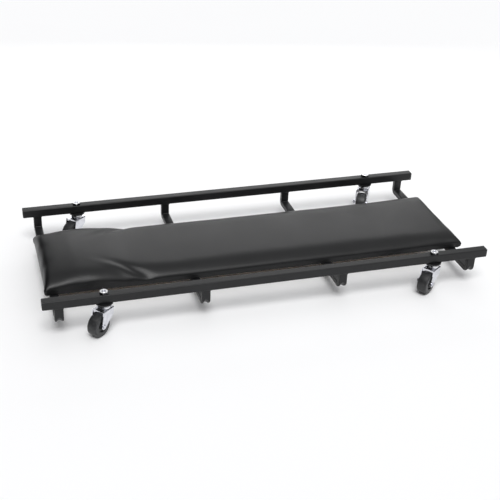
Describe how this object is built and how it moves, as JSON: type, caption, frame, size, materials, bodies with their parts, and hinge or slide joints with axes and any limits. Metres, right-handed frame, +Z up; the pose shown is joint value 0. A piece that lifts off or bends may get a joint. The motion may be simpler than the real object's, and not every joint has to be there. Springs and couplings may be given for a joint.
{
  "type": "mechanics creeper",
  "caption": "Low rolling creeper: square tube frame with dropped cross members, a black vinyl pad with a raised headrest, and swivel casters.",
  "frame": {"origin": "on the floor, midway between the two rails and midway along them", "axes": "+X towards the foot end along the rails, +Y towards the far rail, +Z up"},
  "size_m": [1.016, 0.4703, 0.0991],
  "materials": {
    "frame_paint": "semi-gloss black powder coat",
    "cap_plastic": "fine texture",
    "plywood": "raw sanded",
    "foam": "open cell foam",
    "vinyl": "satin vinyl with a fine grain",
    "zinc": "bright zinc plate",
    "fork_zinc": "bright zinc plate",
    "ball_steel": "polished",
    "black_oxide": "black finish",
    "bush_steel": "turned",
    "wheel_rubber": "satin hard rubber"
  },
  "bodies": {
    "frame_and_pad": {"rail_near": "frame_paint", "rail_far": "frame_paint", "cross_member_1": "frame_paint", "cross_member_2": "frame_paint", "cross_member_3": "frame_paint", "cross_member_4": "frame_paint", "end_cap_head_near": "cap_plastic", "end_cap_foot_near": "cap_plastic", "end_cap_head_far": "cap_plastic", "end_cap_foot_far": "cap_plastic", "pad_board": "plywood", "pad_foam": "foam", "headrest_foam": "foam", "pad_cover": "vinyl", "cover_staples": "zinc", "pad_bolts": "zinc", "pad_tee_nuts": "zinc", "stem_nuts": "zinc", "stem_washers": "black_oxide", "stem_head_near": "zinc", "stem_foot_near": "zinc", "stem_head_far": "zinc", "stem_foot_far": "zinc", "upper_race_head_near": "zinc", "upper_race_foot_near": "zinc", "upper_race_head_far": "zinc", "upper_race_foot_far": "zinc"},
    "swivel_head_near": {"fork_head_near": "fork_zinc", "balls_head_near": "ball_steel", "lower_race_head_near": "zinc", "axle_bolt_head_near": "zinc", "axle_nut_head_near": "zinc", "axle_bush_head_near": "bush_steel"},
    "wheel_head_near": {"wheel_head_near": "wheel_rubber"},
    "swivel_foot_near": {"fork_foot_near": "fork_zinc", "balls_foot_near": "ball_steel", "lower_race_foot_near": "zinc", "axle_bolt_foot_near": "zinc", "axle_nut_foot_near": "zinc", "axle_bush_foot_near": "bush_steel"},
    "wheel_foot_near": {"wheel_foot_near": "wheel_rubber"},
    "swivel_head_far": {"fork_head_far": "fork_zinc", "balls_head_far": "ball_steel", "lower_race_head_far": "zinc", "axle_bolt_head_far": "zinc", "axle_nut_head_far": "zinc", "axle_bush_head_far": "bush_steel"},
    "wheel_head_far": {"wheel_head_far": "wheel_rubber"},
    "swivel_foot_far": {"fork_foot_far": "fork_zinc", "balls_foot_far": "ball_steel", "lower_race_foot_far": "zinc", "axle_bolt_foot_far": "zinc", "axle_nut_foot_far": "zinc", "axle_bush_foot_far": "bush_steel"},
    "wheel_foot_far": {"wheel_foot_far": "wheel_rubber"}
  },
  "joints": [
    {"name": "swivel_turn_head_near", "type": "hinge", "parent": "frame_and_pad", "child": "swivel_head_near", "pos_m": [-0.378, -0.206, 0.062], "axis": [0, 0, 1], "continuous": true},
    {"name": "wheel_roll_head_near", "type": "hinge", "parent": "swivel_head_near", "child": "wheel_head_near", "pos_m": [-0.39361, -0.22005, 0.026], "axis": [0.6691, -0.7431, 0], "continuous": true},
    {"name": "swivel_turn_foot_near", "type": "hinge", "parent": "frame_and_pad", "child": "swivel_foot_near", "pos_m": [0.378, -0.206, 0.062], "axis": [0, 0, 1], "continuous": true},
    {"name": "wheel_roll_foot_near", "type": "hinge", "parent": "swivel_foot_near", "child": "wheel_foot_near", "pos_m": [0.36134, -0.21878, 0.026], "axis": [0.6088, -0.7934, 0], "continuous": true},
    {"name": "swivel_turn_head_far", "type": "hinge", "parent": "frame_and_pad", "child": "swivel_head_far", "pos_m": [-0.378, 0.206, 0.062], "axis": [0, 0, 1], "continuous": true},
    {"name": "wheel_roll_head_far", "type": "hinge", "parent": "swivel_head_far", "child": "wheel_head_far", "pos_m": [-0.39385, 0.19222, 0.026], "axis": [0.6561, -0.7547, 0], "continuous": true},
    {"name": "swivel_turn_foot_far", "type": "hinge", "parent": "frame_and_pad", "child": "swivel_foot_far", "pos_m": [0.378, 0.206, 0.062], "axis": [0, 0, 1], "continuous": true},
    {"name": "wheel_roll_foot_far", "type": "hinge", "parent": "swivel_foot_far", "child": "wheel_foot_far", "pos_m": [0.36687, 0.18819, 0.026], "axis": [0.848, -0.5299, 0], "continuous": true}
  ]
}
